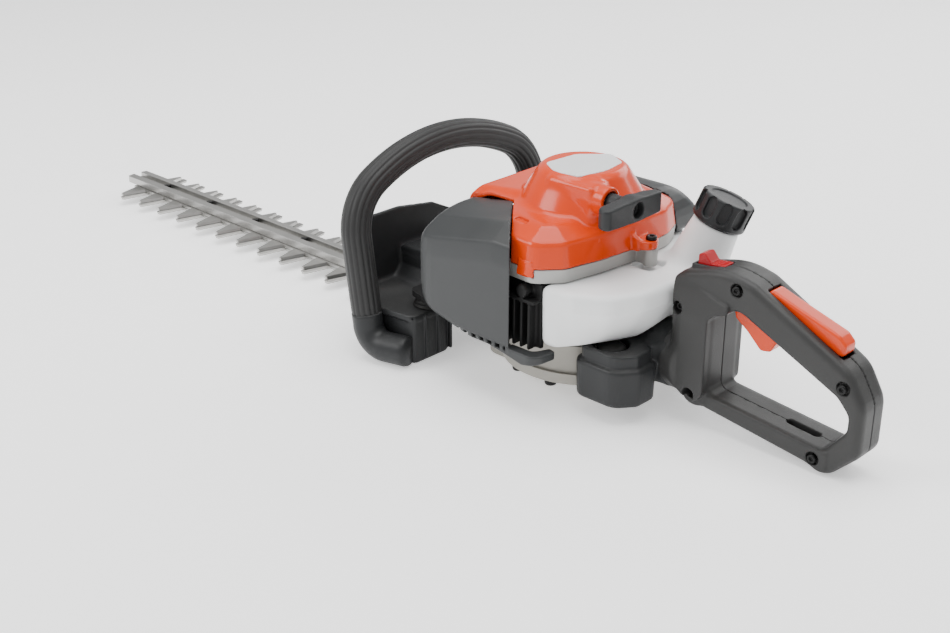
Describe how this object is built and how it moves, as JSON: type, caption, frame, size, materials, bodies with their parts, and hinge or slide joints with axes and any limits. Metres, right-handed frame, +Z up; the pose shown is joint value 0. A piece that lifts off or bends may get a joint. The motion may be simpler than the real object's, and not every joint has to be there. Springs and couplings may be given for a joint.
{
  "type": "hedge trimmer",
  "caption": "Petrol hedge trimmer with double-sided reciprocating blades, a hooped front handle, a closed rear handle with throttle trigger, and a recoil starter.",
  "frame": {"origin": "bottom centre of the bounding box, on the floor the machine stands on", "axes": "+X from the blades towards the rear handle, +Y to the operator's right, +Z up"},
  "size_m": [0.942, 0.2476, 0.1838],
  "materials": {
    "blade_steel": "ground and brushed",
    "screws": "black oxide",
    "gear_case_alloy": "die cast, painted warm grey",
    "machined_steel": "machined",
    "cast_alloy": "die cast",
    "coil_black": "glass filled",
    "muffler_steel": "heat tinted sheet",
    "black_rubber": "moulded",
    "grey_cover": "satin",
    "grey_plastic": "fine texture",
    "dark_plastic": "glass filled, fine texture",
    "orange_plastic": "glossy",
    "red_plastic": "glossy",
    "white_plastic": "satin, slightly translucent",
    "clear_bulb": "translucent silicone",
    "filter_foam": "felt",
    "rope": "braided nylon"
  },
  "bodies": {
    "machine": {"air_filter": "filter_foam", "air_filter_cover": "grey_cover", "blade_bolts": "screws", "carburettor": "cast_alloy", "case_screws": "screws", "chassis_frame": "dark_plastic", "crankcase_lower": "cast_alloy", "crankcase_upper": "cast_alloy", "cylinder": "cast_alloy", "dome_plate": "white_plastic", "drum_bearing": "machined_steel", "engine_shroud": "grey_cover", "fan_housing": "gear_case_alloy", "front_dampers": "black_rubber", "front_grip": "black_rubber", "front_handle": "grey_plastic", "fuel_filter": "white_plastic", "fuel_tank": "white_plastic", "gear_case_lower": "gear_case_alloy", "gear_case_upper": "gear_case_alloy", "guide_bar": "blade_steel", "hand_guard": "dark_plastic", "ignition_coil": "coil_black", "intake_boot": "coil_black", "lever_pins": "machined_steel", "main_bearings": "machined_steel", "muffler": "muffler_steel", "primer_base": "coil_black", "rear_dampers": "black_rubber", "rear_handle_left": "grey_plastic", "rear_handle_right": "grey_plastic", "recoil_spring": "machined_steel", "spark_plug": "machined_steel", "spark_plug_cap": "black_rubber", "starter_cover": "orange_plastic", "starter_rope": "rope", "throttle_cable": "black_rubber"},
    "crank": {"crankshaft": "machined_steel", "flywheel": "cast_alloy", "flywheel_nut": "screws", "clutch_shoes": "machined_steel"},
    "piston_and_rod": {"piston": "cast_alloy", "connecting_rod": "machined_steel", "gudgeon_pin": "machined_steel"},
    "gear_and_cams": {"drive_gear": "machined_steel"},
    "drum_and_pinion": {"clutch_drum": "machined_steel"},
    "upper_blade": {"upper_blade": "blade_steel", "upper_teeth": "blade_steel"},
    "lower_blade": {"lower_blade": "blade_steel", "lower_teeth": "blade_steel"},
    "pull_grip": {"starter_grip": "dark_plastic"},
    "rope_pulley": {"starter_pulley": "coil_black"},
    "trigger": {"throttle_trigger": "orange_plastic"},
    "carburettor_lever": {"throttle_lever": "dark_plastic"},
    "lockout": {"lockout_lever": "orange_plastic"},
    "switch": {"stop_switch": "red_plastic"},
    "cap_seal": {"fuel_cap_seal": "black_rubber"},
    "cap": {"fuel_cap": "dark_plastic"},
    "choke": {"choke_lever": "dark_plastic"},
    "primer": {"primer_bulb": "clear_bulb"}
  },
  "joints": [
    {"name": "crank_spin", "type": "hinge", "parent": "machine", "child": "crank", "pos_m": [0.197, 0, 0.092], "axis": [0, 0, 1], "continuous": true},
    {"name": "piston_stroke", "type": "slide", "parent": "machine", "child": "piston_and_rod", "axis": [1, 0, 0], "range_m": [-0.0135, 0.0135]},
    {"name": "gear_turn", "type": "hinge", "parent": "machine", "child": "gear_and_cams", "pos_m": [0.16001, 0, 0.017], "axis": [0, 0, 1], "range_deg": [-65.25, 114.75]},
    {"name": "drum_turn", "type": "hinge", "parent": "machine", "child": "drum_and_pinion", "pos_m": [0.197, 0, 0.03], "axis": [0, 0, 1], "range_deg": [-501.23, 285.23]},
    {"name": "upper_blade_slide", "type": "slide", "parent": "machine", "child": "upper_blade", "axis": [1, 0, 0], "range_m": [-0.00585, 0.01025]},
    {"name": "lower_blade_slide", "type": "slide", "parent": "machine", "child": "lower_blade", "axis": [1, 0, 0], "range_m": [-0.01025, 0.00585]},
    {"name": "rope_pull", "type": "slide", "parent": "machine", "child": "pull_grip", "axis": [1, 0, 0], "range_m": [0, 0.7], "stiffness_N_per_m": 12, "springref_m": -0.4},
    {"name": "pulley_turn", "type": "hinge", "parent": "machine", "child": "rope_pulley", "pos_m": [0.197, 0, 0.169], "axis": [0, 0, 1], "range_deg": [-0.5, 1432.89]},
    {"name": "trigger_squeeze", "type": "hinge", "parent": "machine", "child": "trigger", "pos_m": [0.357, 0, 0.1135], "axis": [0, -1, 0], "range_deg": [0, 14], "stiffness_Nm_per_rad": 0.6, "springref_deg": -20.05},
    {"name": "throttle_open", "type": "hinge", "parent": "machine", "child": "carburettor_lever", "pos_m": [0.1535, 0.06, 0.106], "axis": [0, 0, -1], "range_deg": [-0.2, 70.2]},
    {"name": "lockout_press", "type": "hinge", "parent": "machine", "child": "lockout", "pos_m": [0.383, 0, 0.121], "axis": [0, 1, 0], "range_deg": [0, 5], "stiffness_Nm_per_rad": 0.8, "springref_deg": -8.02},
    {"name": "switch_rock", "type": "hinge", "parent": "machine", "child": "switch", "pos_m": [0.325, 0, 0.126], "axis": [0, 1, 0], "range_deg": [-5, 0], "stiffness_Nm_per_rad": 0.3, "springref_deg": 4.01},
    {"name": "seal_lift", "type": "slide", "parent": "machine", "child": "cap_seal", "axis": [0.27, 0.26, 0.9271], "range_m": [-0.0001, 0.0121]},
    {"name": "cap_turn", "type": "hinge", "parent": "cap_seal", "child": "cap", "pos_m": [0.291, 0.049, 0.143], "axis": [0.27, 0.26, 0.9271], "range_deg": [0, 1080]},
    {"name": "choke_turn", "type": "hinge", "parent": "machine", "child": "choke", "pos_m": [0.167, 0.106, 0.082], "axis": [0, 1, 0], "range_deg": [0, 60]},
    {"name": "primer_press", "type": "slide", "parent": "machine", "child": "primer", "axis": [0, -1, 0], "range_m": [0, 0.003], "stiffness_N_per_m": 900, "springref_m": -0.0005}
  ],
  "couplings": [
    {"joint": "drum_turn", "follows": "gear_turn", "ratio": -4.3636},
    {"joint": "upper_blade_slide", "follows": "gear_turn", "m_per_rad": 0.005093},
    {"joint": "lower_blade_slide", "follows": "gear_turn", "m_per_rad": -0.005093},
    {"joint": "pulley_turn", "follows": "rope_pull", "rad_per_m": 35.714},
    {"joint": "throttle_open", "follows": "trigger_squeeze", "ratio": 5},
    {"joint": "seal_lift", "follows": "cap_turn", "m_per_rad": 0.00063662}
  ]
}
